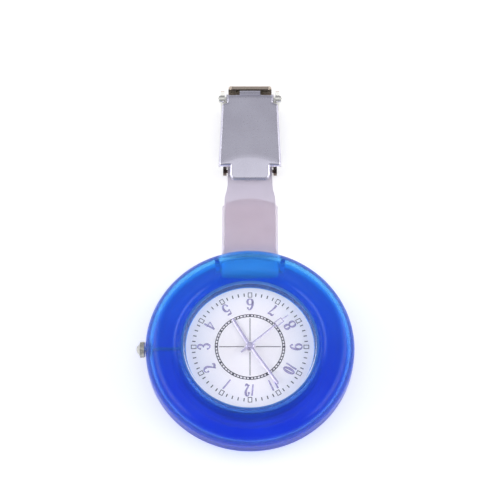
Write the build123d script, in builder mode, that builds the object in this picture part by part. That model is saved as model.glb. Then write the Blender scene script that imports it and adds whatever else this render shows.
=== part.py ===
"""Nurse's fob watch: a round translucent case, a quartz movement, a silicone strap and a lever clip.

The watch lies on its back. The origin is the centre of the case's back, +Z comes out of the dial,
+Y runs up the strap to the clip, and the crown is on the -X side. Sizes are in millimetres.
"""

import os
from math import atan2, cos, radians, sin, sqrt

from build123d import *

# --- driving dimensions: case ---------------------------------------------------------------
case_r = 26.0
case_height = 12.5
corner_r = 4.9
wall = 1.6
joint_z = corner_r
lap_height = 0.7
fit_gap = 0.05
crest_r = case_r - corner_r
inner_wall_r = 16.2
inner_wall_outer_r = 17.5
inner_wall_foot_z = 1.6

crystal_r = 17.1
crystal_seat_z = 9.35
crystal_seat_r = 16.5
gasket_t = 0.15
crystal_rim_z = 10.05
crystal_bevel_r = 16.4
crystal_bevel_z = 10.4
crystal_top_z = 10.95
funnel_edge_drop = 0.1

# --- dial and hands --------------------------------------------------------------------------
dial_r = 16.1
dial_z = 7.75
dial_t = 0.4
rehaut_r = 15.85
dial_hole_r = 0.85
print_t = 0.03
numeral_t = 0.08
numeral_r = 11.4
numeral_height = 3.05
numeral_width = 1.7
hour_angle, minute_angle, second_angle = 149.5, 325.5, 229.5
hour_length, minute_length, second_length, second_tail = 8.65, 12.3, 12.5, 2.9
hour_hand_z, minute_hand_z, second_hand_z = 8.1, 8.5, 8.88
hand_t, hand_edge_t = 0.17, 0.07
hour_hand_width, minute_hand_width = 0.7, 0.66
hour_boss_r, minute_boss_r, second_boss_r = 1.05, 0.9, 0.7

# --- movement --------------------------------------------------------------------------------
stem_z = case_height / 2
stem_r = 0.45
plate_r = 9.9
plate_low_z, plate_high_z = 6.0, 6.55
bridge_low_z, bridge_high_z = 4.2, 4.42
arbor_r = 0.15
tube_bore_r, tube_r = 0.2, 0.45
hour_bore_r, hour_tube_r = 0.5, 0.75
battery_r, battery_at = 2.9, (-4.2, 4.4)
third_distance, third_direction = 3.24, 40.0
fifth_distance, fifth_direction = 3.3, -45.0
rotor_distance, rotor_direction = 1.96, -70.0
minute_wheel_distance, minute_wheel_direction = 2.64, -150.0
setting_pivot = (-7.9, -2.9)
groove_x = setting_pivot[0]
screw_places = ((-3.6, -1.9), (5.6, -1.0), (0.6, 5.4))
screw_r, screw_head_r, screw_head_t, screw_length = 0.25, 0.6, 0.3, 1.3
coil_y = -6.9

# Each wheel and pinion: teeth, height of its lower face, thickness.
rotor_pinion = (8, 4.5, 0.28)
intermediate_teeth = (48, 4.55, 0.1)
intermediate_pinion = (8, 4.65, 0.32)
second_teeth = (40, 4.75, 0.15)
second_pinion = (8, 4.9, 0.55)
third_teeth = (60, 5.25, 0.15)
third_pinion = (8, 5.4, 0.5)
centre_teeth = (64, 5.65, 0.2)
cannon_pinion = (12, 6.6, 0.3)
minute_teeth = (36, 6.65, 0.2)
minute_pinion = (10, 6.85, 0.4)
hour_teeth = (40, 7.0, 0.2)
setting_teeth, setting_mesh_distance, setting_pinion_t = 14, 1.3, 0.7

# --- crown -----------------------------------------------------------------------------------
crown_r = 2.0
crown_inner_x, crown_shoulder_x, crown_end_x = -26.15, -27.5, -28.35
crown_socket = 1.2
square_start_x, pivot_start_x, pivot_end_x = -6.6, -4.5, -3.3
setting_pinion_x = -5.9
stem_pivot_r, groove_half = 0.22, 0.3

# --- strap -----------------------------------------------------------------------------------
layer_t = 1.0
tab_width, band_width, neck_width = 14.45, 13.2, 11.6
pin_y, pin_r, pin_length = 21.7, 0.75, 17.4
eye_r = 2.0
flex_y = 27.6
tab_end_u, tab_end_sagitta = 15.6, 2.1
neck_start_u = 22.9

# --- clip ------------------------------------------------------------------------------------
bar_y, bar_z, bar_r = 51.9, 1.6, 0.45
bar_eye_r = 1.5
sheet = 0.5
base_t = 0.7
base_half, base_start_y, clip_end_y = 6.4, 53.6, 75.4
arm_inner, arm_outer, arm_end_y = 6.1, 7.0, 51.0
hinge_y, hinge_z, hinge_r = 71.7, 4.5, 0.5
ear_inner, ear_outer, ear_start_y, ear_end_y = 6.7, 7.75, 70.6, 74.6
lip_half, lip_wall_y, lip_edge_y, lip_z = 5.7, 74.75, 74.3, 5.2
lever_top_z, lever_crown = 6.0, 0.6
lever_free_y, lever_wide_end_y, lever_end_y = 51.8, 70.2, 72.6
lever_free_half, lever_wide_end_half, lever_neck_half = 8.2, 7.4, 6.2
tongue_half, tongue_end_y, tongue_crease_y, tongue_slope = 5.2, 48.15, 54.1, 0.25
nose_half, nose_end_y = 2.7, 73.9
clear_cut = 20.0


def polar(distance, direction):
    """A point in the plan at a distance and a direction in degrees from the hands' axis."""
    return distance * cos(radians(direction)), distance * sin(radians(direction))


def dial_direction(clockwise):
    """The plan direction of a dial angle, counted clockwise from twelve, which faces -Y."""
    return 270.0 - clockwise


third_at = polar(third_distance, third_direction)
fifth_at = polar(fifth_distance, fifth_direction)
fifth_to_rotor = polar(rotor_distance, rotor_direction)
rotor_at = (fifth_at[0] + fifth_to_rotor[0], fifth_at[1] + fifth_to_rotor[1])
minute_wheel_at = polar(minute_wheel_distance, minute_wheel_direction)


def gear_profile(teeth, distance, mate_teeth, mate_direction, gap=False):
    """A fine clock gear whose pitch circle suits its mate at that centre distance.

    A tooth, or a gap, stands on the line towards the mate, so that a pair is in mesh.
    """
    module = 2 * distance / (teeth + mate_teeth)
    pitch_r = teeth * module / 2
    root_r, tip_r = pitch_r - 1.1 * module, pitch_r + 0.8 * module
    step = 360.0 / teeth
    first = mate_direction + (step / 2 if gap else 0.0)
    points = []
    for tooth in range(teeth):
        for radius, share in ((root_r, -0.27), (tip_r, -0.09), (tip_r, 0.09), (root_r, 0.27)):
            points.append(polar(radius, first + (tooth + share) * step))
    with BuildSketch() as profile:
        with BuildLine():
            Polyline(*points, close=True)
        make_face()
    return profile.sketch


def gear(mesh_wheel, mate_wheel, distance, mate_direction, place=(0, 0), gap=False):
    """Adds a toothed wheel at its own height to the part being built."""
    teeth, low_z, thickness = mesh_wheel
    with BuildSketch(Plane.XY.offset(low_z)) as outline:
        with Locations(place):
            add(gear_profile(teeth, distance, mate_wheel[0], mate_direction, gap))
    extrude(outline.sketch, amount=thickness)


def upright(radius, low_z, high_z, place=(0, 0), mode=Mode.ADD):
    """Adds or cuts a round post between two heights in the part being built."""
    with Locations((*place, low_z)):
        Cylinder(radius, high_z - low_z, align=(Align.CENTER, Align.CENTER, Align.MIN), mode=mode)


def digit_profile(digit, width, height, stroke):
    """A digit drawn with a pen of even width, in a cell centred on the origin."""
    wide, tall = width / 2, height / 2
    bowls = {"0": [(0, 0.84, 0.92)], "6": [(-0.42, 0.8, 0.5)],
             "8": [(0.5, 0.68, 0.42), (-0.45, 0.84, 0.48)], "9": [(0.42, 0.8, 0.5)]}

    def at(across, up):
        return across * wide, up * tall

    with BuildSketch() as profile:
        for up, across_r, up_r in bowls.get(digit, []):
            with Locations(at(0, up)):
                Ellipse(across_r * wide + stroke / 2, up_r * tall + stroke / 2)
                Ellipse(across_r * wide - stroke / 2, up_r * tall - stroke / 2, mode=Mode.SUBTRACT)
        with BuildLine() as strokes:
            if digit == "1":
                Line(at(-0.24, -0.95), at(0.24, 0.95))
            elif digit == "2":
                ThreePointArc(at(-0.8, 0.5), at(0.04, 0.95), at(0.8, 0.45))
                Polyline(at(0.8, 0.45), at(-0.84, -0.92), at(0.84, -0.92))
            elif digit == "3":
                ThreePointArc(at(-0.76, 0.62), at(0.8, 0.5), at(-0.1, 0.08))
                ThreePointArc(at(-0.1, 0.08), at(0.88, -0.45), at(-0.8, -0.62))
            elif digit == "4":
                Polyline(at(0.4, -0.95), at(0.4, 0.95), at(-0.9, -0.35), at(0.9, -0.35))
            elif digit == "5":
                Polyline(at(0.72, 0.92), at(-0.56, 0.92), at(-0.68, 0.1))
                ThreePointArc(at(-0.68, 0.1), at(0.84, -0.3), at(-0.8, -0.75))
            elif digit == "6":
                ThreePointArc(at(0.68, 0.9), at(-0.6, 0.3), at(-0.8, -0.42))
            elif digit == "7":
                Polyline(at(-0.8, 0.92), at(0.8, 0.92), at(-0.24, -0.95))
            elif digit == "9":
                ThreePointArc(at(0.8, 0.42), at(0.6, -0.3), at(-0.68, -0.9))
        for edge in strokes.edges():
            trace(edge, line_width=stroke)
    return profile.sketch


def finish(part, name, material_color):
    """Labels and colours a finished piece and writes it to its own file."""
    part.label = name
    part.color = Color(*material_color)
    export_step(part, f"parts/{name}.step")


os.makedirs("parts", exist_ok=True)
blue = (0.08, 0.2, 0.85)
steel = (0.75, 0.75, 0.78)
brass = (0.8, 0.65, 0.3)
plastic = (0.85, 0.85, 0.82)
silicone = (0.8, 0.76, 0.86)
dark = (0.1, 0.1, 0.12)

# --- case shells -----------------------------------------------------------------------------
slot_height = 2 * layer_t + 0.5
slot_half = tab_width / 2 + 0.3
slot_start_y, slot_end_y = case_r - 4.5, case_r + 2.5
cradle_inner_x, cradle_outer_x = 7.6, 8.7
cradle_start_y, cradle_end_y = pin_y - 1.1, pin_y + 1.0
cradle_x, cradle_y = (cradle_inner_x + cradle_outer_x) / 2, (cradle_start_y + cradle_end_y) / 2
cradle_top_z, cradle_root = 10.3, 0.1
inner_corner_r = corner_r - wall
cavity_r = case_r - wall
stem_hole_r = stem_r + fit_gap
stem_seal_r, stem_seal_depth = 1.0, 0.8

with BuildPart() as front_shell:
    with BuildSketch(Plane.XZ):
        with BuildLine():
            lap_r = case_r - wall / 2
            Polyline((cavity_r, joint_z + lap_height + fit_gap), (lap_r, joint_z + lap_height + fit_gap),
                     (lap_r, joint_z), (case_r, joint_z), (case_r, case_height - corner_r))
            RadiusArc((case_r, case_height - corner_r), (crest_r, case_height), -corner_r)
            Spline((crest_r, case_height), (crystal_r + fit_gap, crystal_rim_z - funnel_edge_drop),
                   tangents=((-1, 0), (-0.35, -1)))
            Polyline((crystal_r + fit_gap, crystal_rim_z - funnel_edge_drop),
                     (crystal_r + fit_gap, crystal_seat_z),
                     (crystal_seat_r, crystal_seat_z), (rehaut_r, dial_z + fit_gap),
                     (inner_wall_r, dial_z + fit_gap), (inner_wall_r, inner_wall_foot_z),
                     (inner_wall_outer_r, inner_wall_foot_z),
                     (inner_wall_outer_r, crystal_seat_z - wall))
            Spline((inner_wall_outer_r, crystal_seat_z - wall), (crest_r, case_height - wall),
                   tangents=((0.35, 1), (1, 0)))
            RadiusArc((crest_r, case_height - wall), (cavity_r, case_height - corner_r), inner_corner_r)
            Line((cavity_r, case_height - corner_r), (cavity_r, joint_z + lap_height + fit_gap))
        make_face()
    revolve(axis=Axis.Z)
    with Locations((0, (slot_start_y + slot_end_y) / 2, stem_z)):
        Box(2 * slot_half, slot_end_y - slot_start_y, slot_height, mode=Mode.SUBTRACT)
    with BuildSketch(Plane.YZ):
        with Locations((0, stem_z)):
            Circle(stem_hole_r)
    extrude(amount=-case_r - 1, mode=Mode.SUBTRACT)
    with BuildSketch(Plane.YZ.offset(-case_r - 1)):
        with Locations((0, stem_z)):
            Circle(stem_seal_r)
    extrude(amount=1 + stem_seal_depth, mode=Mode.SUBTRACT)
    for side in (-1, 1):
        with BuildSketch(Plane.XY.offset(stem_z + pin_r + fit_gap)):
            with Locations((side * cradle_x, cradle_y)):
                Rectangle(cradle_outer_x - cradle_inner_x, cradle_end_y - cradle_start_y)
        extrude(amount=cradle_top_z - stem_z - pin_r)
finish(front_shell.part, "front_shell", blue)

lip_top_z = 3.2
caseback_r, caseback_t = 16.9, 0.8
caseback_rim_r, caseback_rim_bore, caseback_rim_z = 16.1, 15.3, 2.8
with BuildPart() as back_shell:
    with BuildSketch(Plane.XZ):
        with BuildLine():
            lap_r = case_r - wall / 2 - fit_gap
            Polyline((case_r, joint_z), (lap_r, joint_z), (lap_r, joint_z + lap_height),
                     (cavity_r, joint_z + lap_height), (cavity_r, joint_z))
            RadiusArc((cavity_r, joint_z), (crest_r, wall), inner_corner_r)
            Polyline((crest_r, wall), (inner_wall_outer_r + wall, wall),
                     (inner_wall_outer_r + wall, lip_top_z), (inner_wall_outer_r + fit_gap, lip_top_z),
                     (inner_wall_outer_r + fit_gap, inner_wall_foot_z - fit_gap),
                     (caseback_r + fit_gap, inner_wall_foot_z - fit_gap), (caseback_r + fit_gap, 0),
                     (crest_r, 0))
            RadiusArc((crest_r, 0), (case_r, joint_z), -corner_r)
        make_face()
    revolve(axis=Axis.Z)
    for side in (-1, 1):
        with BuildSketch(Plane.XY.offset(wall - cradle_root)):
            with Locations((side * cradle_x, cradle_y)):
                Rectangle(cradle_outer_x - cradle_inner_x, cradle_end_y - cradle_start_y)
        extrude(amount=stem_z - wall + cradle_root)
    with Locations((0, (slot_start_y + slot_end_y) / 2, stem_z)):
        Box(2 * slot_half, slot_end_y - slot_start_y, slot_height, mode=Mode.SUBTRACT)
    with BuildSketch(Plane.YZ.offset(-clear_cut)):
        with Locations((pin_y, stem_z)):
            Circle(pin_r + fit_gap)
    extrude(amount=2 * clear_cut, mode=Mode.SUBTRACT)
    with BuildSketch(Plane.YZ):
        with Locations((0, stem_z)):
            Circle(stem_seal_r)
    extrude(amount=-case_r - 1, mode=Mode.SUBTRACT)
finish(back_shell.part, "back_shell", blue)

# --- crystal, caseback and seals -------------------------------------------------------------
with BuildPart() as crystal:
    with BuildSketch(Plane.XZ):
        with BuildLine():
            Polyline((0, crystal_seat_z + gasket_t), (crystal_r, crystal_seat_z + gasket_t),
                     (crystal_r, crystal_rim_z), (crystal_bevel_r, crystal_bevel_z))
            Spline((crystal_bevel_r, crystal_bevel_z), (0, crystal_top_z), tangents=((-1, 0.07), (-1, 0)))
            Line((0, crystal_top_z), (0, crystal_seat_z + gasket_t))
        make_face()
    revolve(axis=Axis.Z)
finish(crystal.part, "crystal", (0.9, 0.95, 1.0))

with BuildPart() as crystal_gasket:
    with BuildSketch(Plane.XY.offset(crystal_seat_z)):
        Circle(crystal_r)
        Circle(crystal_seat_r, mode=Mode.SUBTRACT)
    extrude(amount=gasket_t)
finish(crystal_gasket.part, "crystal_gasket", (0.6, 0.75, 0.95))

notch_width, notch_depth, notch_t = 5.0, 0.6, 0.5
with BuildPart() as caseback:
    Cylinder(caseback_r, caseback_t, align=(Align.CENTER, Align.CENTER, Align.MIN))
    with BuildSketch(Plane.XY.offset(caseback_t)):
        Circle(caseback_rim_r)
        Circle(caseback_rim_bore, mode=Mode.SUBTRACT)
    extrude(amount=caseback_rim_z - caseback_t)
    chamfer(caseback.edges().filter_by(GeomType.CIRCLE).group_by(Axis.Z)[0], 0.15)
    with Locations((0, -caseback_r, caseback_t - notch_t / 2)):
        Box(notch_width, 2 * notch_depth, notch_t, mode=Mode.SUBTRACT)
finish(caseback.part, "caseback", steel)

with BuildPart() as caseback_gasket:
    with BuildSketch(Plane.XY.offset(caseback_t)):
        Circle(caseback_r - 0.05)
        Circle(caseback_rim_r + 0.05, mode=Mode.SUBTRACT)
    extrude(amount=inner_wall_foot_z - caseback_t)
finish(caseback_gasket.part, "caseback_gasket", dark)

# --- dial ------------------------------------------------------------------------------------
with BuildPart() as dial:
    with BuildSketch(Plane.XY.offset(dial_z - dial_t)):
        Circle(dial_r)
        Circle(dial_hole_r, mode=Mode.SUBTRACT)
    extrude(amount=dial_t)
finish(dial.part, "dial", (0.93, 0.92, 0.97))

marker_inner_r, marker_outer_r, marker_width, marker_line = 13.24, 14.6, 1.07, 0.16
tick_inner_r, tick_outer_r, tick_width = 13.55, 14.4, 0.25
chain_inner_r, chain_outer_r, chain_line = 7.95, 8.7, 0.19
chain_hour_width, chain_minute_width = 0.5, 0.26
cross_inner_r, cross_outer_r, cross_width = 1.5, 7.6, 0.18
with BuildPart() as dial_track:
    with BuildSketch(Plane.XY.offset(dial_z)):
        for ring_outer_r in (chain_outer_r, chain_inner_r + chain_line):
            Circle(ring_outer_r)
            Circle(ring_outer_r - chain_line, mode=Mode.SUBTRACT)
        for minute in range(60):
            with Locations(Rotation(0, 0, -6 * minute)):
                if minute % 5 == 0:
                    box_height = marker_outer_r - marker_inner_r
                    with Locations((0, (marker_inner_r + marker_outer_r) / 2)):
                        Rectangle(marker_width, box_height)
                        Rectangle(marker_width - 2 * marker_line, box_height - 2 * marker_line,
                                  mode=Mode.SUBTRACT)
                else:
                    with Locations((0, (tick_inner_r + tick_outer_r) / 2)):
                        Rectangle(tick_width, tick_outer_r - tick_inner_r)
        for quarter in range(4):
            with Locations(Rotation(0, 0, 90 * quarter)):
                with Locations((0, (cross_inner_r + cross_outer_r) / 2)):
                    Rectangle(cross_width, cross_outer_r - cross_inner_r)
        for minute in range(60):
            link_width = chain_hour_width if minute % 5 == 0 else chain_minute_width
            with Locations(Rotation(0, 0, -6 * minute)):
                with Locations((0, (chain_inner_r + chain_outer_r) / 2)):
                    Rectangle(link_width, chain_outer_r - chain_inner_r)
    extrude(amount=print_t)
finish(dial_track.part, "dial_track", (0.08, 0.08, 0.12))

digit_pitch, pair_narrowing, pen_width = 1.25, 0.62, 0.3
with BuildPart() as numerals:
    with BuildSketch(Plane.XY.offset(dial_z)):
        for hour in range(1, 13):
            digits = str(hour)
            place = polar(numeral_r, dial_direction(30 * hour))
            outward = dial_direction(30 * hour) - 90
            turn = outward + 180 if 4 <= hour <= 8 else outward
            width = numeral_width if len(digits) == 1 else pair_narrowing * numeral_width
            for index, digit in enumerate(digits):
                shift = (index - (len(digits) - 1) / 2) * digit_pitch
                glyph = digit_profile(digit, width, numeral_height, pen_width)
                with Locations(Location((*place, 0), (0, 0, turn))):
                    with Locations((shift, 0)):
                        add(glyph)
    extrude(amount=numeral_t)
finish(numerals.part, "numerals", (0.66, 0.62, 0.8))


def hand_blade(width, length):
    """A baton hand with a central ridge, pointing along +X from the hands' axis."""
    with BuildPart() as blade:
        with BuildSketch(Plane.YZ):
            with BuildLine():
                Polyline((-width / 2, 0), (width / 2, 0), (width / 2, hand_edge_t), (0, hand_t),
                         (-width / 2, hand_edge_t), close=True)
            make_face()
        extrude(amount=length)
        with BuildSketch():
            with BuildLine():
                Polyline((0, -width / 2), (length - width / 2, -width / 2), (length, 0),
                         (length - width / 2, width / 2), (0, width / 2), close=True)
            make_face()
        extrude(amount=2 * hand_t, mode=Mode.INTERSECT)
    return blade.part


with BuildPart() as hour_hand:
    with Locations(Location((0, 0, hour_hand_z), (0, 0, dial_direction(hour_angle)))):
        add(hand_blade(hour_hand_width, hour_length))
    upright(hour_boss_r, hour_hand_z, hour_hand_z + hand_t)
    upright(hour_tube_r, 0, clear_cut, mode=Mode.SUBTRACT)
finish(hour_hand.part, "hour_hand", steel)

with BuildPart() as minute_hand:
    with Locations(Location((0, 0, minute_hand_z), (0, 0, dial_direction(minute_angle)))):
        add(hand_blade(minute_hand_width, minute_length))
    upright(minute_boss_r, minute_hand_z, minute_hand_z + hand_t)
    upright(tube_r, 0, clear_cut, mode=Mode.SUBTRACT)
finish(minute_hand.part, "minute_hand", steel)

frame_start, frame_end, frame_width, frame_line = 8.5, 10.55, 1.4, 0.22
second_t, second_width, second_tip_width = 0.12, 0.32, 0.2
second_socket_r, second_socket_t, second_cap_r, second_cap_t = 0.36, 0.16, 0.5, 0.12
with BuildPart() as second_hand:
    with BuildSketch(Plane.XY.offset(second_hand_z)):
        with Locations(Rotation(0, 0, dial_direction(second_angle))):
            with Locations(((frame_start - second_tail) / 2, 0)):
                Rectangle(frame_start + second_tail, second_width)
            with Locations(((frame_start + frame_end) / 2, 0)):
                Rectangle(frame_end - frame_start, frame_width)
                Rectangle(frame_end - frame_start - 2 * frame_line, frame_width - 2 * frame_line,
                          mode=Mode.SUBTRACT)
            with Locations(((frame_end + second_length) / 2, 0)):
                Rectangle(second_length - frame_end, second_tip_width)
        Circle(second_boss_r)
    extrude(amount=second_t)
    upright(second_socket_r, second_hand_z - second_socket_t, second_hand_z)
    upright(arbor_r, 0, clear_cut, mode=Mode.SUBTRACT)
    upright(second_cap_r, second_hand_z + second_t, second_hand_z + second_t + second_cap_t)
finish(second_hand.part, "second_hand", steel)

# --- movement: plates and holder -------------------------------------------------------------
dial_back_z = dial_z - dial_t
holder_low_z, holder_top_t = 3.0, 0.8
pocket_count, pocket_r = 10, 2.1
stem_channel_width, stem_channel_slack = 1.5, 0.7
holder_middle_r = (inner_wall_r + plate_r) / 2
with BuildPart() as movement_holder:
    with BuildSketch(Plane.XY.offset(holder_low_z)):
        Circle(inner_wall_r - 0.1)
        Circle(plate_r + 0.1, mode=Mode.SUBTRACT)
    extrude(amount=dial_back_z - holder_low_z)
    with BuildSketch(Plane.XY.offset(holder_low_z)):
        with PolarLocations(holder_middle_r, pocket_count, start_angle=180 / pocket_count):
            Circle(pocket_r)
    extrude(amount=dial_back_z - holder_low_z - holder_top_t, mode=Mode.SUBTRACT)
    with Locations((-holder_middle_r, 0, dial_back_z)):
        Box(inner_wall_r - plate_r + 1.7, stem_channel_width,
            2 * (dial_back_z - stem_z + stem_channel_slack), mode=Mode.SUBTRACT)
finish(movement_holder.part, "movement_holder", plastic)

pivot_r = arbor_r + fit_gap
minute_post_r, lever_post_r, screw_boss_r = 0.3, 0.28, 0.45
rim_t = 0.8
battery_pocket_z = plate_low_z + 0.37
stem_slot_inner_x, stem_slot_width, stem_slot_height = -4.45, 1.7, 3.0
coil_pocket_z, coil_pocket_width, coil_pocket_length = 6.25, 1.9, 7.6
with BuildPart() as main_plate:
    with BuildSketch(Plane.XY.offset(plate_low_z)):
        Circle(plate_r)
        Circle(tube_r + fit_gap, mode=Mode.SUBTRACT)
        for place in (third_at, fifth_at, rotor_at):
            with Locations(place):
                Circle(pivot_r, mode=Mode.SUBTRACT)
        with Locations(minute_wheel_at):
            Circle(minute_post_r + fit_gap, mode=Mode.SUBTRACT)
    extrude(amount=plate_high_z - plate_low_z)
    with BuildSketch(Plane.XY.offset(plate_high_z)):
        Circle(plate_r)
        Circle(plate_r - rim_t, mode=Mode.SUBTRACT)
    extrude(amount=dial_back_z - plate_high_z)
    with BuildSketch(Plane.XY.offset(plate_low_z)):
        with Locations(battery_at):
            Circle(battery_r + 0.1)
    extrude(amount=battery_pocket_z - plate_low_z, mode=Mode.SUBTRACT)
    for place in screw_places:
        with BuildSketch(Plane.XY.offset(bridge_high_z)):
            with Locations(place):
                Circle(screw_boss_r)
                Circle(screw_r, mode=Mode.SUBTRACT)
        extrude(amount=plate_low_z - bridge_high_z)
    with Locations((stem_slot_inner_x, 0, stem_z)):
        Box(plate_r, stem_slot_width, stem_slot_height,
            align=(Align.MAX, Align.CENTER, Align.CENTER), mode=Mode.SUBTRACT)
    with BuildSketch(Plane.YZ.offset(pivot_start_x - 0.1)):
        with Locations((0, stem_z)):
            Circle(stem_pivot_r + fit_gap)
    extrude(amount=pivot_end_x - pivot_start_x + 0.2, mode=Mode.SUBTRACT)
    with BuildSketch(Plane.XY.offset(plate_high_z)):
        with Locations(setting_pivot):
            Circle(lever_post_r)
    extrude(amount=0.5)
    with BuildSketch(Plane.XY.offset(coil_pocket_z)):
        with Locations((0, coil_y)):
            Rectangle(coil_pocket_length, coil_pocket_width)
    extrude(amount=plate_low_z - coil_pocket_z, mode=Mode.SUBTRACT)
finish(main_plate.part, "main_plate", plastic)

bridge_outline = ((-4.1, -2.6), (3.2, -5.3), (6.5, -1.6), (6.3, -0.2), (1.4, 6.1), (0.1, 6.0),
                  (-4.3, -1.5))
battery_gap = 0.2
with BuildPart() as train_bridge:
    with BuildSketch(Plane.XY.offset(bridge_low_z)):
        with BuildLine():
            Polyline(*bridge_outline, close=True)
        make_face()
        with Locations(battery_at):
            Circle(battery_r + battery_gap, mode=Mode.SUBTRACT)
        for place in screw_places:
            with Locations(place):
                Circle(screw_r, mode=Mode.SUBTRACT)
        for place in (third_at, fifth_at, rotor_at, (0, 0)):
            with Locations(place):
                Circle(pivot_r, mode=Mode.SUBTRACT)
    extrude(amount=bridge_high_z - bridge_low_z)
finish(train_bridge.part, "train_bridge", plastic)

driver_slot = (1.4, 0.18, 0.2)
with BuildPart() as bridge_screws:
    for place in screw_places:
        upright(screw_head_r, bridge_low_z - screw_head_t, bridge_low_z, place)
        upright(screw_r, bridge_low_z, bridge_low_z + screw_length, place)
        with Locations((*place, bridge_low_z - screw_head_t)):
            Box(*driver_slot, mode=Mode.SUBTRACT)
finish(bridge_screws.part, "bridge_screws", steel)

# --- movement: power and drive ---------------------------------------------------------------
battery_can_t, battery_cap_t, battery_cap_inset = 1.6, 0.5, 0.5
battery_step_z = bridge_low_z + battery_can_t
with BuildPart() as battery:
    upright(battery_r, bridge_low_z, battery_step_z, battery_at)
    upright(battery_r - battery_cap_inset, battery_step_z, battery_step_z + battery_cap_t, battery_at)
    fillet(battery.edges().filter_by(GeomType.CIRCLE).group_by(Axis.Z)[0], 0.2)
finish(battery.part, "battery", steel)

contact_t, contact_width, contact_drop = 0.13, 1.2, 0.15
contact_low_z = bridge_low_z - contact_drop
contact_tongue_length, contact_corner_y, contact_foot_x = 5.0, 7.2, 1.8
contact_start_x = battery_at[0] - contact_width / 2
with BuildPart() as battery_contact:
    with BuildSketch(Plane.XY.offset(contact_low_z)):
        with Locations((battery_at[0], contact_corner_y + contact_width / 2 - contact_tongue_length / 2)):
            Rectangle(contact_width, contact_tongue_length)
        with Locations(((contact_start_x + contact_foot_x + contact_width / 2) / 2, contact_corner_y)):
            Rectangle(contact_foot_x + contact_width / 2 - contact_start_x, contact_width)
    extrude(amount=contact_t)
    with Locations((contact_foot_x, contact_corner_y, contact_low_z)):
        Box(contact_width, contact_width, plate_low_z - contact_low_z,
            align=(Align.CENTER, Align.CENTER, Align.MIN))
finish(battery_contact.part, "battery_contact", brass)

board_outline = ((6.3, -4.5), (8.4, -3.8), (8.8, 2.5), (6.3, 6.3))
board_z, board_t = 5.75, 0.2
chip_at, chip_side, chip_t = (7.2, -2.2), 1.6, 0.5
with BuildPart() as circuit_board:
    with BuildSketch(Plane.XY.offset(board_z)):
        with BuildLine():
            Polyline(*board_outline, close=True)
        make_face()
    extrude(amount=board_t)
    with Locations((*chip_at, board_z)):
        Box(chip_side, chip_side, chip_t, align=(Align.CENTER, Align.CENTER, Align.MAX))
finish(circuit_board.part, "circuit_board", (0.1, 0.35, 0.2))

can_r, can_length, can_start_y, can_x, can_z = 0.72, 5.0, -1.0, 7.2, 5.0
with BuildPart() as quartz_can:
    with BuildSketch(Plane.XZ.offset(-can_start_y)):
        with Locations((can_x, can_z)):
            Circle(can_r)
    extrude(amount=-can_length)
    fillet(quartz_can.edges().sort_by(Axis.Y)[-1], 0.3)
finish(quartz_can.part, "quartz_can", steel)

core_z, core_t, core_length, core_width = 5.0, 0.2, 9.4, 0.8
stator_width, stator_bore, stator_leg = 2.1, 0.75, 2.8
with BuildPart() as stator:
    with BuildSketch(Plane.XY.offset(core_z)):
        with Locations((0, rotor_at[1])):
            Rectangle(core_length, stator_width)
        for side in (-1, 1):
            with Locations((side * (core_length - core_width) / 2, coil_y + (stator_leg - core_width) / 2)):
                Rectangle(core_width, stator_leg)
        with Locations((0, coil_y)):
            Rectangle(core_length, core_width)
        with Locations(rotor_at):
            Circle(stator_bore, mode=Mode.SUBTRACT)
    extrude(amount=core_t)
finish(stator.part, "stator", steel)

coil_length, coil_r = 7.4, 0.85
with BuildPart() as coil:
    with BuildSketch(Plane.YZ.offset(-coil_length / 2)):
        with Locations((coil_y, core_z + core_t / 2)):
            Circle(coil_r)
            Rectangle(core_width, core_t, mode=Mode.SUBTRACT)
    extrude(amount=coil_length)
finish(coil.part, "coil", (0.72, 0.35, 0.15))

# --- movement: wheels ------------------------------------------------------------------------
magnet_r, magnet_low_z, magnet_high_z = 0.6, 4.85, 5.35
with BuildPart() as rotor:
    gear(rotor_pinion, intermediate_teeth, rotor_distance, rotor_direction + 180, rotor_at)
    upright(magnet_r, magnet_low_z, magnet_high_z, rotor_at)
    upright(arbor_r, bridge_low_z, plate_high_z, rotor_at)
finish(rotor.part, "rotor", dark)

with BuildPart() as intermediate_wheel:
    gear(intermediate_teeth, rotor_pinion, rotor_distance, rotor_direction, fifth_at, gap=True)
    gear(intermediate_pinion, second_teeth, fifth_distance, fifth_direction + 180, fifth_at)
    upright(arbor_r, bridge_low_z, plate_high_z, fifth_at)
finish(intermediate_wheel.part, "intermediate_wheel", brass)

with BuildPart() as second_wheel:
    gear(second_teeth, intermediate_pinion, fifth_distance, fifth_direction, gap=True)
    gear(second_pinion, third_teeth, third_distance, third_direction)
    upright(arbor_r, bridge_low_z, second_hand_z + second_t)
finish(second_wheel.part, "second_wheel", brass)

with BuildPart() as third_wheel:
    gear(third_teeth, second_pinion, third_distance, third_direction + 180, third_at, gap=True)
    gear(third_pinion, centre_teeth, third_distance, third_direction + 180, third_at)
    upright(arbor_r, bridge_low_z, plate_high_z, third_at)
finish(third_wheel.part, "third_wheel", brass)

cannon_low_z = 5.6
with BuildPart() as centre_wheel:
    gear(centre_teeth, third_pinion, third_distance, third_direction, gap=True)
    gear(cannon_pinion, minute_teeth, minute_wheel_distance, minute_wheel_direction)
    upright(tube_r, cannon_low_z, minute_hand_z + hand_t)
    upright(tube_bore_r, 0, clear_cut, mode=Mode.SUBTRACT)
finish(centre_wheel.part, "centre_wheel", brass)

with BuildPart() as minute_wheel:
    gear(minute_teeth, cannon_pinion, minute_wheel_distance, minute_wheel_direction + 180,
         minute_wheel_at, gap=True)
    gear(minute_pinion, hour_teeth, minute_wheel_distance, minute_wheel_direction + 180, minute_wheel_at)
    upright(minute_post_r, plate_low_z, minute_teeth[1] + minute_teeth[2] / 2, minute_wheel_at)
finish(minute_wheel.part, "minute_wheel", brass)

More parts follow.
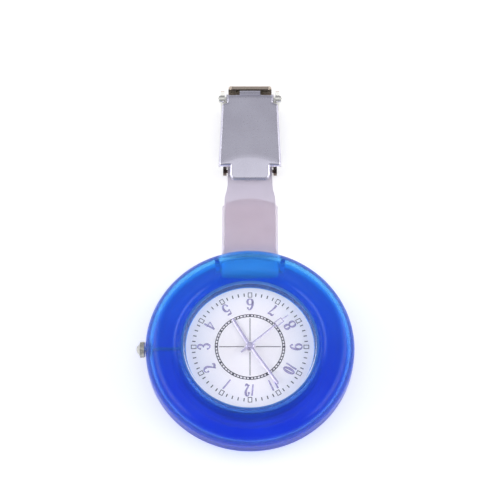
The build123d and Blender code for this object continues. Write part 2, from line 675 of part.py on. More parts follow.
with BuildPart() as hour_wheel:
    gear(hour_teeth, minute_pinion, minute_wheel_distance, minute_wheel_direction, gap=True)
    upright(hour_tube_r, hour_teeth[1], hour_hand_z + hand_t)
    upright(hour_bore_r, 0, clear_cut, mode=Mode.SUBTRACT)
finish(hour_wheel.part, "hour_wheel", brass)


# --- crown and setting work ------------------------------------------------------------------
def stem_plane(x):
    """A plane across the stem's axis, facing the movement."""
    return Plane(origin=(x, 0, stem_z), x_dir=(0, 1, 0), z_dir=(1, 0, 0))


flutes, flute_r, flute_outset = 26, 0.18, 0.06
dome_r, crown_inner_chamfer, crown_outer_chamfer = crown_r - 0.35, 0.2, 0.15
with BuildPart() as crown:
    with BuildSketch(Plane.XZ):
        with BuildLine():
            Polyline((crown_inner_x, stem_z), (crown_inner_x, stem_z + crown_r - crown_inner_chamfer),
                     (crown_inner_x - crown_inner_chamfer, stem_z + crown_r),
                     (crown_shoulder_x + crown_outer_chamfer, stem_z + crown_r),
                     (crown_shoulder_x, stem_z + dome_r))
            Spline((crown_shoulder_x, stem_z + dome_r), (crown_end_x, stem_z), tangents=((-0.6, -1), (0, -1)))
            Line((crown_end_x, stem_z), (crown_inner_x, stem_z))
        make_face()
    revolve(axis=Axis((0, 0, stem_z), (1, 0, 0)))
    with BuildSketch(stem_plane(crown_shoulder_x + 0.1)):
        with PolarLocations(crown_r + flute_outset, flutes):
            Circle(flute_r)
    extrude(amount=3, mode=Mode.SUBTRACT)
    with BuildSketch(stem_plane(crown_inner_x - crown_socket)):
        Circle(stem_r)
    extrude(amount=crown_socket, mode=Mode.SUBTRACT)
finish(crown.part, "crown", steel)

square_side = 0.5
with BuildPart() as stem:
    with BuildSketch(stem_plane(crown_inner_x - crown_socket)):
        Circle(stem_r)
    extrude(amount=square_start_x - crown_inner_x + crown_socket)
    with BuildSketch(stem_plane(square_start_x)):
        Rectangle(square_side, square_side)
    extrude(amount=pivot_start_x - square_start_x)
    with BuildSketch(stem_plane(pivot_start_x)):
        Circle(stem_pivot_r)
    extrude(amount=pivot_end_x - pivot_start_x)
    with BuildSketch(stem_plane(groove_x - groove_half)):
        Circle(stem_r + 0.1)
        Circle(stem_pivot_r, mode=Mode.SUBTRACT)
    extrude(amount=2 * groove_half, mode=Mode.SUBTRACT)
finish(stem.part, "stem", steel)

with BuildPart() as stem_gasket:
    with BuildSketch(stem_plane(-case_r + fit_gap)):
        Circle(stem_seal_r - 0.02)
        Circle(stem_r + fit_gap, mode=Mode.SUBTRACT)
    extrude(amount=stem_seal_depth - 0.1)
finish(stem_gasket.part, "stem_gasket", dark)

with BuildPart() as setting_pinion:
    with BuildSketch(stem_plane(setting_pinion_x)):
        add(gear_profile(setting_teeth, setting_mesh_distance, setting_teeth, 0))
        Rectangle(square_side + 2 * fit_gap, square_side + 2 * fit_gap, mode=Mode.SUBTRACT)
    extrude(amount=setting_pinion_t)
finish(setting_pinion.part, "setting_pinion", steel)

lever_plate_z, lever_plate_t = 6.78, 0.14
post_at, post_r, post_foot_z = (groove_x, 0), 0.17, stem_z + 0.27
eye_outer_r, eye_bore, arm_width = 0.6, 0.33, 0.55
tail_length, tail_width = 1.8, 0.5
with BuildPart() as setting_lever:
    with BuildSketch(Plane.XY.offset(lever_plate_z)):
        with Locations(setting_pivot):
            Circle(eye_outer_r)
        with Locations((setting_pivot[0], setting_pivot[1] / 2)):
            Rectangle(arm_width, -setting_pivot[1])
        with Locations(post_at):
            Circle(arm_width / 2)
        with Locations((setting_pivot[0] + tail_length / 2, setting_pivot[1])):
            Rectangle(tail_length, tail_width)
        with Locations(setting_pivot):
            Circle(eye_bore, mode=Mode.SUBTRACT)
    extrude(amount=lever_plate_t)
    upright(post_r, post_foot_z, lever_plate_z, post_at)
finish(setting_lever.part, "setting_lever", steel)

# --- strap -----------------------------------------------------------------------------------
with BuildPart() as strap_pin:
    with BuildSketch(Plane.YZ.offset(-pin_length / 2)):
        with Locations((pin_y, stem_z)):
            Circle(pin_r)
    extrude(amount=pin_length)
    chamfer(strap_pin.edges().filter_by(GeomType.CIRCLE), 0.15)
finish(strap_pin.part, "strap_pin", steel)

strap_rise = stem_z - (bar_z + 0.35)
flex_gap = 0.15
strap_length = sqrt((bar_y - flex_y) ** 2 + strap_rise ** 2)
strap_tilt = atan2(strap_rise, bar_y - flex_y)
strap_plane = Plane(origin=(0, flex_y, stem_z), x_dir=(1, 0, 0),
                    z_dir=(0, sin(strap_tilt), cos(strap_tilt)))

with BuildPart() as strap_root:
    with BuildSketch(Plane.YZ.offset(-tab_width / 2)):
        with Locations((pin_y, stem_z)):
            Circle(eye_r)
        root_end_y = flex_y - layer_t - flex_gap
        with Locations(((pin_y + root_end_y) / 2, stem_z)):
            Rectangle(root_end_y - pin_y, 2 * layer_t)
        with Locations((pin_y, stem_z)):
            Circle(pin_r + fit_gap, mode=Mode.SUBTRACT)
    extrude(amount=tab_width)
finish(strap_root.part, "strap_root", silicone)

with BuildPart() as strap_tab:
    with BuildSketch(strap_plane):
        half = tab_width / 2
        shoulder_u = tab_end_u - tab_end_sagitta
        start_u = layer_t + fit_gap
        with BuildLine():
            Polyline((half, shoulder_u), (half, start_u), (-half, start_u), (-half, shoulder_u))
            ThreePointArc((-half, shoulder_u), (0, tab_end_u), (half, shoulder_u))
        make_face()
    extrude(amount=-layer_t)
finish(strap_tab.part, "strap_tab", silicone)

with BuildPart() as strap_band:
    with BuildSketch(Plane.YZ.offset(-band_width / 2)):
        with Locations((flex_y, stem_z)):
            Circle(layer_t)
    extrude(amount=band_width)
    with BuildSketch(strap_plane):
        with Locations((0, neck_start_u / 2)):
            Rectangle(band_width, neck_start_u)
        with Locations((0, strap_length / 2)):
            Rectangle(neck_width, strap_length)
    extrude(amount=layer_t)
    with BuildSketch(Plane.YZ.offset(-neck_width / 2)):
        with Locations((bar_y, bar_z)):
            Circle(bar_eye_r)
    extrude(amount=neck_width)
    with BuildSketch(Plane.YZ.offset(-neck_width / 2)):
        with Locations((bar_y, bar_z)):
            Circle(bar_r + fit_gap)
    extrude(amount=neck_width, mode=Mode.SUBTRACT)
finish(strap_band.part, "strap_band", silicone)

# --- clip ------------------------------------------------------------------------------------
lip_t, lip_chamfer, lip_corner_r = 0.5, 0.3, 1.4
ear_r, ear_wall_z, ear_slope = 1.15, 3.6, (0.6, 1.0)
arm_half, arm_top_y, arm_root_y, arm_low_y, arm_root_z = 0.65, 54.5, 56.5, 52.9, 1.0
with BuildPart() as clip_body:
    with BuildSketch(Plane.XY):
        with Locations((0, (base_start_y + clip_end_y) / 2)):
            Rectangle(2 * lip_half, clip_end_y - base_start_y)
        with Locations((0, (base_start_y + ear_end_y) / 2)):
            Rectangle(2 * base_half, ear_end_y - base_start_y)
        with Locations((0, (ear_start_y + ear_end_y) / 2)):
            Rectangle(2 * ear_outer, ear_end_y - ear_start_y)
    extrude(amount=base_t)
    with BuildSketch(Plane.YZ.offset(-lip_half)):
        with BuildLine():
            Polyline((lip_wall_y, 0), (clip_end_y, 0), (clip_end_y, lip_z - lip_chamfer),
                     (clip_end_y - lip_chamfer, lip_z), (lip_edge_y, lip_z), (lip_edge_y, lip_z - lip_t),
                     (lip_wall_y, lip_z - lip_t), close=True)
        make_face()
    extrude(amount=2 * lip_half)
    with BuildSketch(Plane.XZ.offset(-lip_edge_y)):
        with Locations((0, lip_z / 2)):
            Rectangle(4 * lip_half, 3 * lip_z)
            RectangleRounded(2 * lip_half, lip_z, lip_corner_r, mode=Mode.SUBTRACT)
        with Locations((0, -lip_z / 4)):
            Rectangle(2 * lip_half, 2 * lip_z, mode=Mode.SUBTRACT)
    extrude(amount=-(clip_end_y - lip_edge_y), mode=Mode.SUBTRACT)
    for side in (-1, 1):
        inner, outer = side * ear_inner, side * ear_outer
        with BuildSketch(Plane.YZ.offset(min(inner, outer))):
            with Locations((hinge_y, hinge_z)):
                Circle(ear_r)
            with BuildLine():
                Polyline((ear_start_y, 0), (ear_end_y, 0), (ear_end_y, ear_wall_z),
                         (hinge_y + ear_slope[0], hinge_z + ear_slope[1]), (hinge_y, hinge_z),
                         (ear_start_y, hinge_z - 0.2), close=True)
            make_face()
            with Locations((hinge_y, hinge_z)):
                Circle(hinge_r, mode=Mode.SUBTRACT)
        extrude(amount=ear_outer - ear_inner)
        inner, outer = side * arm_inner, side * arm_outer
        with BuildSketch(Plane.YZ.offset(min(inner, outer))):
            with BuildLine():
                Polyline((arm_end_y, bar_z - arm_half), (arm_end_y, bar_z + arm_half),
                         (arm_top_y, bar_z + arm_half), (arm_root_y, arm_root_z), (arm_root_y, 0),
                         (base_start_y, 0), (arm_low_y, bar_z - arm_half), close=True)
            make_face()
            with Locations((bar_y, bar_z)):
                Circle(bar_r, mode=Mode.SUBTRACT)
        extrude(amount=arm_outer - arm_inner)
finish(clip_body.part, "clip_body", steel)

with BuildPart() as clip_bar:
    with BuildSketch(Plane.YZ.offset(-arm_outer)):
        with Locations((bar_y, bar_z)):
            Circle(bar_r)
    extrude(amount=2 * arm_outer)
finish(clip_bar.part, "clip_bar", steel)

head_r, head_t, head_chamfer = 1.0, 0.6, 0.25
with BuildPart() as clip_hinge_pin:
    with BuildSketch(Plane.YZ.offset(-ear_outer)):
        with Locations((hinge_y, hinge_z)):
            Circle(hinge_r)
    extrude(amount=2 * ear_outer)
    for start in (-ear_outer - head_t, ear_outer):
        with BuildSketch(Plane.YZ.offset(start)):
            with Locations((hinge_y, hinge_z)):
                Circle(head_r)
        extrude(amount=head_t)
    for end in (0, -1):
        chamfer(clip_hinge_pin.faces().sort_by(Axis.X)[end].edges(), head_chamfer)
finish(clip_hinge_pin.part, "clip_hinge_pin", steel)


def lever_section(half, inset):
    """A section across the lever: a crowned top over two side walls, closed along the bottom."""
    width, top, side = half - inset, lever_top_z - inset, lever_top_z - lever_crown - inset
    with BuildSketch() as section:
        with BuildLine():
            Polyline((width, side), (width, 0), (-width, 0), (-width, side))
            ThreePointArc((-width, side), (0, top), (width, side))
        make_face()
    return section.sketch


def tongue_wedge(top_z):
    """The space above the tongue's slope, to be cut from a lever whose top is at that height."""
    past_y, before_y = tongue_crease_y + 8, tongue_crease_y - 14
    with BuildSketch(Plane.YZ.offset(-clear_cut)) as wedge:
        with BuildLine():
            Polyline((past_y, top_z + (past_y - tongue_crease_y) * tongue_slope), (past_y, clear_cut),
                     (before_y, clear_cut), (before_y, top_z - (tongue_crease_y - before_y) * tongue_slope),
                     close=True)
        make_face()
    extrude(wedge.sketch, amount=2 * clear_cut, mode=Mode.SUBTRACT)


flange_low_z = 2.6
lever_edge_r, tongue_corner_r, plan_slack = 0.7, 1.5, 0.5
cheek_t, cheek_r = 0.6, 0.95
nose_start_y, nose_top_y, nose_bend_y = 72.0, 73.2, 73.0
wall_taper = (lever_free_half - lever_wide_end_half) / (lever_wide_end_y - lever_free_y)
lever_ends_y = (tongue_end_y - 1, lever_end_y + 0.5)
with BuildPart() as lever_hollow:
    for y in lever_ends_y:
        with BuildSketch(Plane.XZ.offset(-y)):
            add(lever_section(lever_free_half + wall_taper * (lever_free_y - y), sheet))
    loft()
    tongue_wedge(lever_top_z - sheet)

with BuildPart() as clip_lever:
    for y in lever_ends_y:
        with BuildSketch(Plane.XZ.offset(-y)):
            add(lever_section(lever_free_half + wall_taper * (lever_free_y - y), 0))
    loft()
    long_edges = clip_lever.edges().filter_by(lambda edge: edge.length > 20).group_by(Axis.Z)[-1]
    fillet(long_edges, lever_edge_r)
    tongue_wedge(lever_top_z)
    add(lever_hollow.part, mode=Mode.SUBTRACT)
    with BuildSketch(Plane.XY.offset(flange_low_z)) as plan:
        with BuildLine():
            half_plan = Polyline((0, tongue_end_y), (tongue_half, tongue_end_y),
                                 (tongue_half, lever_free_y + plan_slack),
                                 (lever_free_half - 0.4, lever_free_y),
                                 (lever_free_half + plan_slack, lever_free_y),
                                 (lever_wide_end_half + plan_slack, lever_wide_end_y),
                                 (lever_neck_half, lever_wide_end_y),
                                 (lever_neck_half, lever_end_y), (0, lever_end_y))
            mirror(half_plan, about=Plane.YZ)
        make_face()
        tongue_corners = plan.vertices().group_by(Axis.Y)[0].filter_by(lambda corner: abs(corner.X) > 1)
        fillet(tongue_corners, tongue_corner_r)
    extrude(amount=lever_top_z, mode=Mode.INTERSECT)
    with BuildSketch(Plane.YZ.offset(-nose_half)):
        with BuildLine():
            Polyline((nose_start_y, lever_top_z), (nose_top_y, lever_top_z - 0.05),
                     (nose_end_y, lever_top_z - 0.7), (nose_end_y, hinge_z + 0.3),
                     (nose_end_y - 0.5, hinge_z + 0.5), (nose_bend_y, lever_top_z - sheet),
                     (nose_start_y, lever_top_z - sheet), close=True)
        make_face()
    extrude(amount=2 * nose_half)
    for start in (-lever_neck_half, lever_neck_half - cheek_t):
        with BuildSketch(Plane.YZ.offset(start)):
            with Locations((hinge_y, hinge_z)):
                Circle(cheek_r)
            with Locations((hinge_y, hinge_z + 0.5)):
                Rectangle(1.8, 1.0)
            with Locations((hinge_y, hinge_z)):
                Circle(hinge_r + fit_gap, mode=Mode.SUBTRACT)
        extrude(amount=cheek_t)
finish(clip_lever.part, "clip_lever", steel)
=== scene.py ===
"""Looks of a nurse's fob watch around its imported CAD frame.

The frame is in metres: the origin is the centre of the case's back, +Z comes out of the dial, +Y runs up the
strap to the clip. Pieces built here are drawn in millimetres and scaled once, as they become meshes.
"""

from math import atan2, cos, hypot, pi, radians, sin, sqrt

import bmesh
import bpy
from mathutils import Matrix, Vector


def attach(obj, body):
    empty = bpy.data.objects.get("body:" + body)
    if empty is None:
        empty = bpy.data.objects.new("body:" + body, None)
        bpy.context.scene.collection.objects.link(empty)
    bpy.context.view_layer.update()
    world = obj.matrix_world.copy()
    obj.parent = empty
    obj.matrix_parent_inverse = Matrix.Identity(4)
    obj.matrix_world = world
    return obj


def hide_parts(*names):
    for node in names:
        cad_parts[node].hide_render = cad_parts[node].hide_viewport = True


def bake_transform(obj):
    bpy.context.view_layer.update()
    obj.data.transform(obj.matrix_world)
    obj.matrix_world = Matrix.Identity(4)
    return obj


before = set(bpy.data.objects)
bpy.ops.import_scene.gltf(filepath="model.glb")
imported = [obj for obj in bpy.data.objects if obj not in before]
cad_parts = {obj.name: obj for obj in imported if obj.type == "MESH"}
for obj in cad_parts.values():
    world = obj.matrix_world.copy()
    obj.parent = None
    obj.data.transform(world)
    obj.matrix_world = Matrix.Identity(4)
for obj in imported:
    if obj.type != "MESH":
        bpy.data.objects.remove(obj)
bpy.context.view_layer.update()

MM = 0.001
# In millimetres, but for the tilt in degrees and the lamps' target and the camera's far limit in metres.
STEM_Z = 6.25
PIN_Y = 21.7
DIAL_Z = 7.75
BEAD_STEPS = 14
FLOOR_Z, FLOOR_HALF = -0.05, 2500
FLOOR_GLOW = 0.4
WORLD_COLOUR, WORLD_STRENGTH = (0.93, 0.94, 1.0, 1), 0.36
LAMP_TARGET = (0, 0.02, 0)
CAMERA_TILT = 24.5
CAMERA_PLACE = (0.0, -205.83, 517.78)
CAMERA_LENS, CAMERA_SENSOR = 159.2, 36.0
CAMERA_FAR = 10.0


# --- meshes ----------------------------------------------------------------------------------
def piece(name, body, material, bm, smooth=True, crease_angle=None):
    """Turns a bmesh in millimetres into a piece that rides on a CAD body."""
    bmesh.ops.remove_doubles(bm, verts=bm.verts, dist=1e-4)
    bmesh.ops.recalc_face_normals(bm, faces=bm.faces)
    bm.transform(Matrix.Scale(MM, 4))
    mesh = bpy.data.meshes.new(name)
    bm.to_mesh(mesh)
    bm.free()
    for face in mesh.polygons:
        face.use_smooth = smooth
    if crease_angle:
        mesh.set_sharp_from_angle(angle=radians(crease_angle))
    obj = bpy.data.objects.new(name, mesh)
    bpy.context.scene.collection.objects.link(obj)
    for one in material if isinstance(material, list) else [material]:
        mesh.materials.append(one)
    if body:
        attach(obj, body)
    return obj


def smooth_step(low, high, value):
    """0 below low, 1 above high, and an even S between them."""
    share = min(max((value - low) / (high - low), 0.0), 1.0)
    return share * share * (3 - 2 * share)


def catmull(points, per_span):
    """A smooth run through points of any number of values, with per_span steps between two of them."""
    out = []
    last = len(points) - 1
    for i in range(last):
        p0, p1, p2, p3 = points[max(i - 1, 0)], points[i], points[i + 1], points[min(i + 2, last)]
        for k in range(per_span):
            t = k / per_span
            out.append(tuple(
                0.5 * (2 * b + (c - a) * t + (2 * a - 5 * b + 4 * c - d) * t * t
                       + (3 * b - a - 3 * c + d) * t * t * t)
                for a, b, c, d in zip(p0, p1, p2, p3)))
    out.append(tuple(points[-1]))
    return out


def bridge(bm, ring_a, ring_b, index=0):
    """Quads between two closed rows of vertices."""
    count = len(ring_a)
    for i in range(count):
        j = (i + 1) % count
        bm.faces.new((ring_a[i], ring_a[j], ring_b[j], ring_b[i])).material_index = index


def lathe(bm, profile, centre=(0, 0), steps=64, closed=False):
    """Turns a profile of (radius, height) about a vertical axis. A radius of 0 closes to one point."""
    rings = []
    for radius, height in profile:
        if radius == 0:
            rings.append([bm.verts.new((*centre, height))])
        else:
            rings.append([bm.verts.new((centre[0] + radius * cos(2 * pi * k / steps),
                                        centre[1] + radius * sin(2 * pi * k / steps), height))
                          for k in range(steps)])
    pairs = list(zip(rings, rings[1:]))
    if closed:
        pairs.append((rings[-1], rings[0]))
    for low, high in pairs:
        if len(low) == 1 and len(high) == 1:
            continue
        if len(low) == 1:
            for k in range(steps):
                bm.faces.new((low[0], high[k], high[(k + 1) % steps]))
        elif len(high) == 1:
            for k in range(steps):
                bm.faces.new((low[(k + 1) % steps], low[k], high[0]))
        else:
            bridge(bm, low, high)


def pen(bm, points, widths, place, foot_z, edge_t, ridge_t):
    """A raised stroke of changing width with a ridge along its middle, such as an applied numeral's."""
    rows = []
    for i, (x, y) in enumerate(points):
        before, after = points[max(i - 1, 0)], points[min(i + 1, len(points) - 1)]
        along = Vector((after[0] - before[0], after[1] - before[1])).normalized()
        across = Vector((-along.y, along.x)) * widths[i] / 2
        row = []
        for share, height in ((1, 0), (1, edge_t), (0.55, ridge_t), (-0.55, ridge_t), (-1, edge_t), (-1, 0)):
            flat = place @ Vector((x + across.x * share, y + across.y * share, 0))
            row.append(bm.verts.new((flat.x, flat.y, foot_z + height)))
        rows.append(row)
    for a, b in zip(rows, rows[1:]):
        bridge(bm, a, b)
    bm.faces.new(rows[0])
    bm.faces.new(list(reversed(rows[-1])))


def dome(bm, radius, place, foot_z, height):
    """A small round bead, such as the ball at the end of a numeral's stroke."""
    flat = place @ Vector((0, 0, 0))
    lathe(bm, [(0, foot_z), (radius, foot_z), (radius, foot_z + height * 0.5),
               (radius * 0.7, foot_z + height * 0.92), (0, foot_z + height)], (flat.x, flat.y), BEAD_STEPS)


# --- materials -------------------------------------------------------------------------------
class Finish:
    """A Principled material and the node recipes that the surfaces here are made of."""

    def __init__(self, name, **constants):
        self.material = bpy.data.materials.new(name)
        self.material.use_nodes = True
        self.nodes = self.material.node_tree.nodes
        self.links = self.material.node_tree.links
        self.bsdf = self.nodes["Principled BSDF"]
        self.place = self.nodes.new("ShaderNodeTexCoord").outputs["Object"]
        for socket, value in constants.items():
            self.set(socket.replace("_", " "), value)

    def set(self, socket, value):
        self.bsdf.inputs[socket].default_value = value

    def join(self, output, socket):
        self.links.new(output, self.bsdf.inputs[socket])

    def noise(self, grain_mm, detail=3.0, stretch=(1, 1, 1)):
        """Noise whose features are about grain_mm across, pulled long where stretch is below 1."""
        mapping = self.nodes.new("ShaderNodeMapping")
        mapping.inputs["Scale"].default_value = stretch
        texture = self.nodes.new("ShaderNodeTexNoise")
        texture.inputs["Scale"].default_value = 1000 / grain_mm
        texture.inputs["Detail"].default_value = detail
        self.links.new(self.place, mapping.inputs["Vector"])
        self.links.new(mapping.outputs["Vector"], texture.inputs["Vector"])
        return texture.outputs["Fac"]

    def ramp(self, factor, *stops):
        """Colours along a factor, each stop a position and a colour."""
        node = self.nodes.new("ShaderNodeValToRGB")
        elements = node.color_ramp.elements
        while len(elements) < len(stops):
            elements.new(0.5)
        for element, (position, colour) in zip(elements, stops):
            element.position = position
            element.color = (*colour, 1)
        self.links.new(factor, node.inputs["Fac"])
        return node.outputs["Color"]

    def spread(self, factor, low, high, start=0.3, end=0.7):
        """A factor's middle range turned into values from low to high."""
        node = self.nodes.new("ShaderNodeMapRange")
        for socket, value in (("From Min", start), ("From Max", end), ("To Min", low), ("To Max", high)):
            node.inputs[socket].default_value = value
        self.links.new(factor, node.inputs["Value"])
        return node.outputs["Result"]

    def zone(self, distance, start_mm, end_mm, low=0.0, high=1.0):
        """Values from low to high over a stretch of a distance or coordinate."""
        return self.spread(distance, low, high, start_mm * MM, end_mm * MM)

    def math(self, operation, first, second=None):
        """A Math node whose inputs are numbers or other nodes' outputs."""
        node = self.nodes.new("ShaderNodeMath")
        node.operation = operation
        for socket, value in zip(node.inputs, (first, second)):
            if value is None:
                continue
            if isinstance(value, (int, float)):
                socket.default_value = value
            else:
                self.links.new(value, socket)
        return node.outputs[0]

    def blend(self, factor, first, second):
        """The first colour where the factor is 0 and the second where it is 1."""
        node = self.nodes.new("ShaderNodeMixRGB")
        self.links.new(factor, node.inputs["Fac"])
        for socket, value in (("Color1", first), ("Color2", second)):
            if isinstance(value, tuple):
                node.inputs[socket].default_value = (*value, 1)
            else:
                self.links.new(value, node.inputs[socket])
        return node.outputs["Color"]

    def recolour(self, factor, colour):
        """Takes the base colour towards another where a factor is 1."""
        present = self.bsdf.inputs["Base Color"].links[0].from_socket
        self.join(self.blend(factor, present, colour), "Base Color")

    def reach(self):
        """The distance from the hands' axis."""
        east, north, _ = self.axes()
        return self.math("SQRT", self.math("ADD", self.math("MULTIPLY", east, east),
                                           self.math("MULTIPLY", north, north)))

    def bump(self, height, depth_mm):
        node = self.nodes.new("ShaderNodeBump")
        node.inputs["Distance"].default_value = depth_mm * MM
        self.links.new(height, node.inputs["Height"])
        self.join(node.outputs["Normal"], "Normal")

    def axes(self):
        """The object-space position as three separate values."""
        node = self.nodes.new("ShaderNodeSeparateXYZ")
        self.links.new(self.place, node.inputs["Vector"])
        return node.outputs["X"], node.outputs["Y"], node.outputs["Z"]


def coat_of(name, dark, light, rough, patch_mm=6.0, grain_mm=0.3, stretch=(1, 1, 1), depth_mm=0.01,
            **constants):
    """A surface with slow colour patches, and a fine grain in its gloss and relief."""
    made = Finish(name, **constants)
    made.join(made.ramp(made.noise(patch_mm), (0.3, dark), (0.7, light)), "Base Color")
    grain = made.noise(grain_mm, 4.0, stretch)
    made.join(made.spread(grain, *rough), "Roughness")
    made.bump(grain, depth_mm)
    return made


def lamps_through(finish, tint):
    """Lets lamps reach what lies behind a clear surface, tinted."""
    path = finish.nodes.new("ShaderNodeLightPath")
    clear = finish.nodes.new("ShaderNodeBsdfTransparent")
    clear.inputs["Color"].default_value = (*tint, 1)
    mix = finish.nodes.new("ShaderNodeMixShader")
    finish.links.new(path.outputs["Is Shadow Ray"], mix.inputs["Fac"])
    finish.links.new(finish.bsdf.outputs["BSDF"], mix.inputs[1])
    finish.links.new(clear.outputs["BSDF"], mix.inputs[2])
    finish.links.new(mix.outputs["Shader"], finish.nodes["Material Output"].inputs["Surface"])


# Where a colour changes along +Y, out from the hands' axis or to the sides, in millimetres. Some of these
# spans carry painted light and shade, as said where they are used.
BACKLIT_TOP_SPAN, LIP_REFLECTION_SPAN, ARM_ENDS = (-12.0, 20.0), (74.15, 74.3), (51.9, 53.5)
FUNNEL_HIGHLIGHT_SPAN, BACK_RIM_SHADE_SPAN = (16.8, 17.4), (22.2, 24.2)
TAB_EDGE = (6.2, 6.7)

WALL_TINT = (0.36, 0.7, 0.97)
blue_front = coat_of("blue_front", (0.08, 0.255, 0.93), (0.105, 0.32, 0.98), (0.2, 0.27), 9.0, 0.12,
                     depth_mm=0.002, Transmission_Weight=0.9, IOR=1.3, Specular_IOR_Level=0.14)
_, north, _ = blue_front.axes()
# Painted light: the ring turns lighter and greener towards its top, +Y, as if lit through from behind.
blue_front.recolour(blue_front.zone(north, *BACKLIT_TOP_SPAN, high=0.9), (0.13, 0.56, 1.0))
# Painted highlight: a lighter cyan blue over the bore round the dial, inside 17.4 mm from the hands' axis.
blue_front.recolour(blue_front.zone(blue_front.reach(), *FUNNEL_HIGHLIGHT_SPAN, 1.0, 0.0), (0.25, 0.66, 1.0))
lamps_through(blue_front, WALL_TINT)
blue_back = coat_of("blue_back", (0.03, 0.085, 0.65), (0.045, 0.12, 0.73), (0.3, 0.4), 9.0, 0.12,
                    depth_mm=0.002, Transmission_Weight=0.8, IOR=1.3, Specular_IOR_Level=0.14)
# Painted shade: a steady deep blue over the back shell's outer rim, from 22.2 mm out, damps the light that
# shows through the thin wall there.
blue_back.recolour(blue_back.zone(blue_back.reach(), *BACK_RIM_SHADE_SPAN), (0.03, 0.1, 0.66))
lamps_through(blue_back, WALL_TINT)
glass = Finish("crystal_glass", Transmission_Weight=1.0, IOR=1.45)
glass.join(glass.ramp(glass.noise(7.0), (0.3, (0.975, 0.985, 1.0)), (0.7, (0.99, 0.99, 1.0))), "Base Color")
glass.join(glass.spread(glass.noise(1.5, 5.0), 0.01, 0.035), "Roughness")
lamps_through(glass, (0.97, 0.97, 1.0))
seal = coat_of("clear_seal", (0.16, 0.42, 0.85), (0.24, 0.5, 0.9), (0.4, 0.5), 2.0, 0.2)
rubber = coat_of("seal_rubber", (0.012, 0.012, 0.014), (0.03, 0.03, 0.034), (0.6, 0.75), 2.0, 0.1)
steel = coat_of("movement_steel", (0.46, 0.46, 0.48), (0.58, 0.58, 0.6), (0.22, 0.36), 3.0, 0.1,
                (1, 0.1, 1), 0.002, Metallic=1.0)
brass = coat_of("wheel_brass", (0.52, 0.36, 0.12), (0.66, 0.48, 0.19), (0.24, 0.38), 1.5, 0.08,
                depth_mm=0.002, Metallic=1.0)
cream = coat_of("movement_plastic", (0.6, 0.6, 0.56), (0.72, 0.72, 0.68), (0.45, 0.6), 4.0, 0.2)
board = coat_of("board_resin", (0.02, 0.11, 0.05), (0.04, 0.17, 0.08), (0.35, 0.5), 1.0, 0.15)
magnet = coat_of("magnet_ferrite", (0.03, 0.03, 0.035), (0.07, 0.07, 0.08), (0.35, 0.5), 0.5, 0.1)
ink = coat_of("dial_ink", (0.012, 0.012, 0.03), (0.04, 0.04, 0.075), (0.45, 0.6), 2.0, 0.08, depth_mm=0.002)
relief = coat_of("numeral_metal", (0.34, 0.31, 0.55), (0.5, 0.46, 0.72), (0.2, 0.34), 0.6, 0.1,
                 depth_mm=0.002, Metallic=0.6)
blade = coat_of("hand_metal", (0.52, 0.48, 0.68), (0.68, 0.63, 0.84), (0.18, 0.3), 1.2, 0.08,
                (1, 1, 1), 0.002, Metallic=0.6)
chrome = coat_of("clip_satin", (0.69, 0.67, 0.78), (0.76, 0.745, 0.86), (0.26, 0.34), 7.0, 0.16,
                 (1, 0.35, 1), 0.003, Metallic=1.0)
bright = coat_of("clip_bright", (0.8, 0.8, 0.74), (0.9, 0.89, 0.84), (0.2, 0.32), 3.0, 0.2,
                 depth_mm=0.003, Metallic=1.0)
_, north, _ = bright.axes()
# Painted reflection: a warm tan over the lip's edge beyond y 74.15 mm.
bright.recolour(bright.zone(north, *LIP_REFLECTION_SPAN), (0.6, 0.51, 0.43))
bright.recolour(bright.zone(north, *ARM_ENDS, 1.0, 0.0), (0.16, 0.12, 0.1))
crown_metal = coat_of("crown_plated", (0.46, 0.45, 0.41), (0.7, 0.69, 0.64), (0.18, 0.3), 0.9, 0.12,
                      depth_mm=0.004, Metallic=1.0)
copper = coat_of("coil_copper", (0.4, 0.14, 0.04), (0.62, 0.26, 0.1), (0.25, 0.4), 1.0, 0.07,
                 (1, 0.05, 0.05), 0.02, Metallic=0.9)
silicone = coat_of("silicone_band", (0.69, 0.655, 0.74), (0.73, 0.695, 0.78), (0.34, 0.46), 5.0, 0.2,
                   depth_mm=0.004, Transmission_Weight=0.6, IOR=1.41, Specular_IOR_Level=0.35)
lamps_through(silicone, (0.76, 0.72, 0.76))
# The tab is the same silicone as the band. Its pink is painted: it stands in for the tint of light passing
# through both layers where the band lies over it, and its bare edges, beyond 6.2 mm out, go pale.
silicone_tab = coat_of("silicone_tab", (1.0, 0.87, 0.87), (1.0, 0.91, 0.9), (0.36, 0.48), 5.0, 0.2,
                       depth_mm=0.004, Transmission_Weight=0.45, IOR=1.41, Specular_IOR_Level=0.35)
east, _, _ = silicone_tab.axes()
silicone_tab.recolour(silicone_tab.zone(silicone_tab.math("ABSOLUTE", east), *TAB_EDGE), (0.93, 0.92, 0.97))
lamps_through(silicone_tab, (0.8, 0.76, 0.82))

RAY_SCALE, TURNING_SCALE = 90.0, 6000.0

# The dial is brushed from its centre outwards, so lamps at its sides draw a bright fan across it.
dial = Finish("dial_sunray", Metallic=0.22, Anisotropic=0.9)
east, north, _ = dial.axes()
turn = dial.math("ARCTAN2", north, east)
rays = dial.nodes.new("ShaderNodeTexNoise")
rays.noise_dimensions = "1D"
rays.inputs["Scale"].default_value = RAY_SCALE
rays.inputs["Detail"].default_value = 5.0
dial.links.new(turn, rays.inputs["W"])
dial.join(dial.ramp(rays.outputs["Fac"], (0.25, (0.97, 0.94, 1.0)), (0.75, (1.0, 0.98, 1.0))), "Base Color")
dial.join(dial.spread(rays.outputs["Fac"], 0.42, 0.5), "Roughness")
radial = dial.nodes.new("ShaderNodeTangent")
radial.direction_type = "RADIAL"
radial.axis = "Z"
dial.join(radial.outputs["Tangent"], "Tangent")
dial.bump(rays.outputs["Fac"], 0.002)

